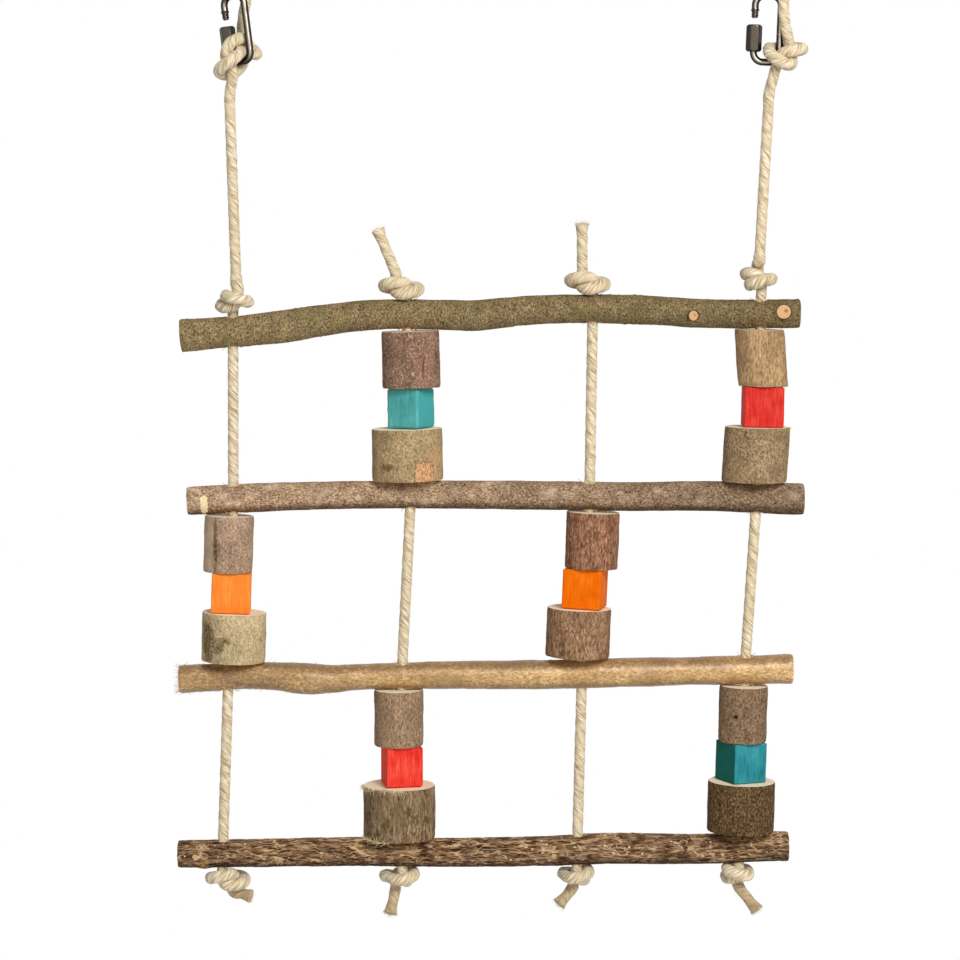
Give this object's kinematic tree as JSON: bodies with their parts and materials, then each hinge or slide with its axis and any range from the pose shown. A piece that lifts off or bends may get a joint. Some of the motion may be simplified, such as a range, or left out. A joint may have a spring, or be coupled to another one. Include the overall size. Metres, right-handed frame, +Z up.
{
  "type": "bird climbing frame",
  "caption": "Hanging climbing frame for a cage bird: branch rungs knotted on sisal ropes, stacks of bark logs and dyed wooden cubes between them, and quick links at the top.",
  "frame": {"origin": "midway between the bearing points in the tops of the two quick links", "axes": "+Z up along the ropes, +X along the rungs to the right as seen from the front, +Y to the back"},
  "size_m": [0.357, 0.0413, 0.5287],
  "materials": {
    "top_rung_bark": "olive-brown bark with dark flecks",
    "second_rung_bark": "grey-brown mottled bark",
    "third_rung_bark": "smooth yellow-tan bark",
    "bottom_rung_bark": "dark brown bark with fine pale cracks",
    "reddish_log_bark": "reddish-brown bark",
    "tan_log_bark": "tan bark",
    "grey_log_bark": "grey-brown bark",
    "dark_log_bark": "dark brown mottled bark",
    "teal_dye": "wood dyed teal",
    "petrol_dye": "wood dyed dark teal",
    "red_dye": "wood dyed red",
    "scarlet_dye": "wood dyed scarlet",
    "orange_dye": "wood dyed orange",
    "amber_dye": "wood dyed deep orange",
    "sisal_rope": "twisted natural sisal",
    "dark_steel": "dark polished steel"
  },
  "bodies": {
    "quick_links": {"left_link": "dark_steel", "right_link": "dark_steel", "rope_1_hitch": "sisal_rope", "rope_4_hitch": "sisal_rope"},
    "left_nut": {"left_link_nut": "dark_steel"},
    "right_nut": {"right_link_nut": "dark_steel"},
    "hanging_ropes": {"rope_1_hanger": "sisal_rope", "rope_4_hanger": "sisal_rope"},
    "top_level": {"top_rung": "top_rung_bark", "rope_1_top_knot": "sisal_rope", "rope_2_top_knot": "sisal_rope", "rope_3_top_knot": "sisal_rope", "rope_4_top_knot": "sisal_rope"},
    "second_level": {"second_rung": "second_rung_bark", "rope_1_upper": "sisal_rope", "rope_2_upper": "sisal_rope", "rope_3_upper": "sisal_rope", "rope_4_upper": "sisal_rope"},
    "third_level": {"third_rung": "third_rung_bark", "rope_1_middle": "sisal_rope", "rope_2_middle": "sisal_rope", "rope_3_middle": "sisal_rope", "rope_4_middle": "sisal_rope"},
    "bottom_level": {"bottom_rung": "bottom_rung_bark", "rope_1_lower": "sisal_rope", "rope_2_lower": "sisal_rope", "rope_3_lower": "sisal_rope", "rope_4_lower": "sisal_rope"},
    "bay1_rope2_upper_bead": {"bay1_rope2_upper_log": "reddish_log_bark"},
    "bay1_rope2_cube_bead": {"bay1_rope2_teal_cube": "teal_dye"},
    "bay1_rope2_lower_bead": {"bay1_rope2_lower_log": "tan_log_bark"},
    "bay1_rope4_upper_bead": {"bay1_rope4_upper_log": "tan_log_bark"},
    "bay1_rope4_cube_bead": {"bay1_rope4_red_cube": "red_dye"},
    "bay1_rope4_lower_bead": {"bay1_rope4_lower_log": "grey_log_bark"},
    "bay2_rope1_upper_bead": {"bay2_rope1_upper_log": "grey_log_bark"},
    "bay2_rope1_cube_bead": {"bay2_rope1_orange_cube": "orange_dye"},
    "bay2_rope1_lower_bead": {"bay2_rope1_lower_log": "grey_log_bark"},
    "bay2_rope3_upper_bead": {"bay2_rope3_upper_log": "reddish_log_bark"},
    "bay2_rope3_cube_bead": {"bay2_rope3_amber_cube": "amber_dye"},
    "bay2_rope3_lower_bead": {"bay2_rope3_lower_log": "reddish_log_bark"},
    "bay3_rope2_upper_bead": {"bay3_rope2_upper_log": "grey_log_bark"},
    "bay3_rope2_cube_bead": {"bay3_rope2_scarlet_cube": "scarlet_dye"},
    "bay3_rope2_lower_bead": {"bay3_rope2_lower_log": "grey_log_bark"},
    "bay3_rope4_upper_bead": {"bay3_rope4_upper_log": "reddish_log_bark"},
    "bay3_rope4_cube_bead": {"bay3_rope4_petrol_cube": "petrol_dye"},
    "bay3_rope4_lower_bead": {"bay3_rope4_lower_log": "dark_log_bark"}
  },
  "joints": [
    {"name": "left_nut_travel", "type": "slide", "parent": "quick_links", "child": "left_nut", "axis": [-0.1219, 0, 0.9925], "range_m": [0, 0.008]},
    {"name": "right_nut_travel", "type": "slide", "parent": "quick_links", "child": "right_nut", "axis": [0.0349, 0, 0.9994], "range_m": [0, 0.008]},
    {"name": "hanging_ropes_swing", "type": "hinge", "parent": "quick_links", "child": "hanging_ropes", "pos_m": [-0.001, 0, -0.058], "axis": [1, 0, 0], "range_deg": [-20, 20]},
    {"name": "top_rung_swing", "type": "hinge", "parent": "hanging_ropes", "child": "top_level", "pos_m": [-0.00175, 0, -0.15276], "axis": [0.9991, 0, 0.0424], "range_deg": [-20, 20]},
    {"name": "second_rung_swing", "type": "hinge", "parent": "top_level", "child": "second_level", "pos_m": [0.047, 0, -0.17629], "axis": [1, 0, 0.0013], "range_deg": [-15, 15]},
    {"name": "third_rung_swing", "type": "hinge", "parent": "second_level", "child": "third_level", "pos_m": [-0.05075, 0, -0.28036], "axis": [1, 0, 0.0071], "range_deg": [-15, 15]},
    {"name": "bottom_rung_swing", "type": "hinge", "parent": "third_level", "child": "bottom_level", "pos_m": [0.0415, 0, -0.3809], "axis": [0.9999, 0, 0.0168], "range_deg": [-15, 15]},
    {"name": "bay1_rope2_upper_spin", "type": "hinge", "parent": "second_level", "child": "bay1_rope2_upper_bead", "pos_m": [-0.0525, 0, -0.2019], "axis": [-0.0195, 0, 0.9998], "continuous": true},
    {"name": "bay1_rope2_cube_spin", "type": "hinge", "parent": "second_level", "child": "bay1_rope2_cube_bead", "pos_m": [-0.05196, 0, -0.22944], "axis": [-0.0195, 0, 0.9998], "continuous": true},
    {"name": "bay1_rope2_lower_spin", "type": "hinge", "parent": "second_level", "child": "bay1_rope2_lower_bead", "pos_m": [-0.05145, 0, -0.25561], "axis": [-0.0195, 0, 0.9998], "continuous": true},
    {"name": "bay1_rope4_upper_spin", "type": "hinge", "parent": "second_level", "child": "bay1_rope4_upper_bead", "pos_m": [0.14664, 0, -0.20094], "axis": [0.0144, 0, 0.9999], "continuous": true},
    {"name": "bay1_rope4_cube_spin", "type": "hinge", "parent": "second_level", "child": "bay1_rope4_cube_bead", "pos_m": [0.14625, 0, -0.22849], "axis": [0.0144, 0, 0.9999], "continuous": true},
    {"name": "bay1_rope4_lower_spin", "type": "hinge", "parent": "second_level", "child": "bay1_rope4_lower_bead", "pos_m": [0.14586, 0, -0.25561], "axis": [0.0144, 0, 0.9999], "continuous": true},
    {"name": "bay2_rope1_upper_spin", "type": "hinge", "parent": "third_level", "child": "bay2_rope1_upper_bead", "pos_m": [-0.15288, 0, -0.30679], "axis": [0.0343, 0, 0.9994], "continuous": true},
    {"name": "bay2_rope1_cube_spin", "type": "hinge", "parent": "third_level", "child": "bay2_rope1_cube_bead", "pos_m": [-0.15383, 0, -0.33432], "axis": [0.0343, 0, 0.9994], "continuous": true},
    {"name": "bay2_rope1_lower_spin", "type": "hinge", "parent": "third_level", "child": "bay2_rope1_lower_bead", "pos_m": [-0.1547, 0, -0.35986], "axis": [0.0343, 0, 0.9994], "continuous": true},
    {"name": "bay2_rope3_upper_spin", "type": "hinge", "parent": "third_level", "child": "bay2_rope3_upper_bead", "pos_m": [0.04952, 0, -0.30451], "axis": [0.0393, 0, 0.9992], "continuous": true},
    {"name": "bay2_rope3_cube_spin", "type": "hinge", "parent": "third_level", "child": "bay2_rope3_cube_bead", "pos_m": [0.04844, 0, -0.33203], "axis": [0.0393, 0, 0.9992], "continuous": true},
    {"name": "bay2_rope3_lower_spin", "type": "hinge", "parent": "third_level", "child": "bay2_rope3_lower_bead", "pos_m": [0.04744, 0, -0.35749], "axis": [0.0393, 0, 0.9992], "continuous": true},
    {"name": "bay3_rope2_upper_spin", "type": "hinge", "parent": "bottom_level", "child": "bay3_rope2_upper_bead", "pos_m": [-0.0565, 0, -0.40654], "axis": [0, 0, 1], "continuous": true},
    {"name": "bay3_rope2_cube_spin", "type": "hinge", "parent": "bottom_level", "child": "bay3_rope2_cube_bead", "pos_m": [-0.0565, 0, -0.4341], "axis": [0, 0, 1], "continuous": true},
    {"name": "bay3_rope2_lower_spin", "type": "hinge", "parent": "bottom_level", "child": "bay3_rope2_lower_bead", "pos_m": [-0.0565, 0, -0.46077], "axis": [0, 0, 1], "continuous": true},
    {"name": "bay3_rope4_upper_spin", "type": "hinge", "parent": "bottom_level", "child": "bay3_rope4_upper_bead", "pos_m": [0.13889, 0, -0.40427], "axis": [0.0243, 0, 0.9997], "continuous": true},
    {"name": "bay3_rope4_cube_spin", "type": "hinge", "parent": "bottom_level", "child": "bay3_rope4_cube_bead", "pos_m": [0.13822, 0, -0.43181], "axis": [0.0243, 0, 0.9997], "continuous": true},
    {"name": "bay3_rope4_lower_spin", "type": "hinge", "parent": "bottom_level", "child": "bay3_rope4_lower_bead", "pos_m": [0.13759, 0, -0.45771], "axis": [0.0243, 0, 0.9997], "continuous": true}
  ]
}
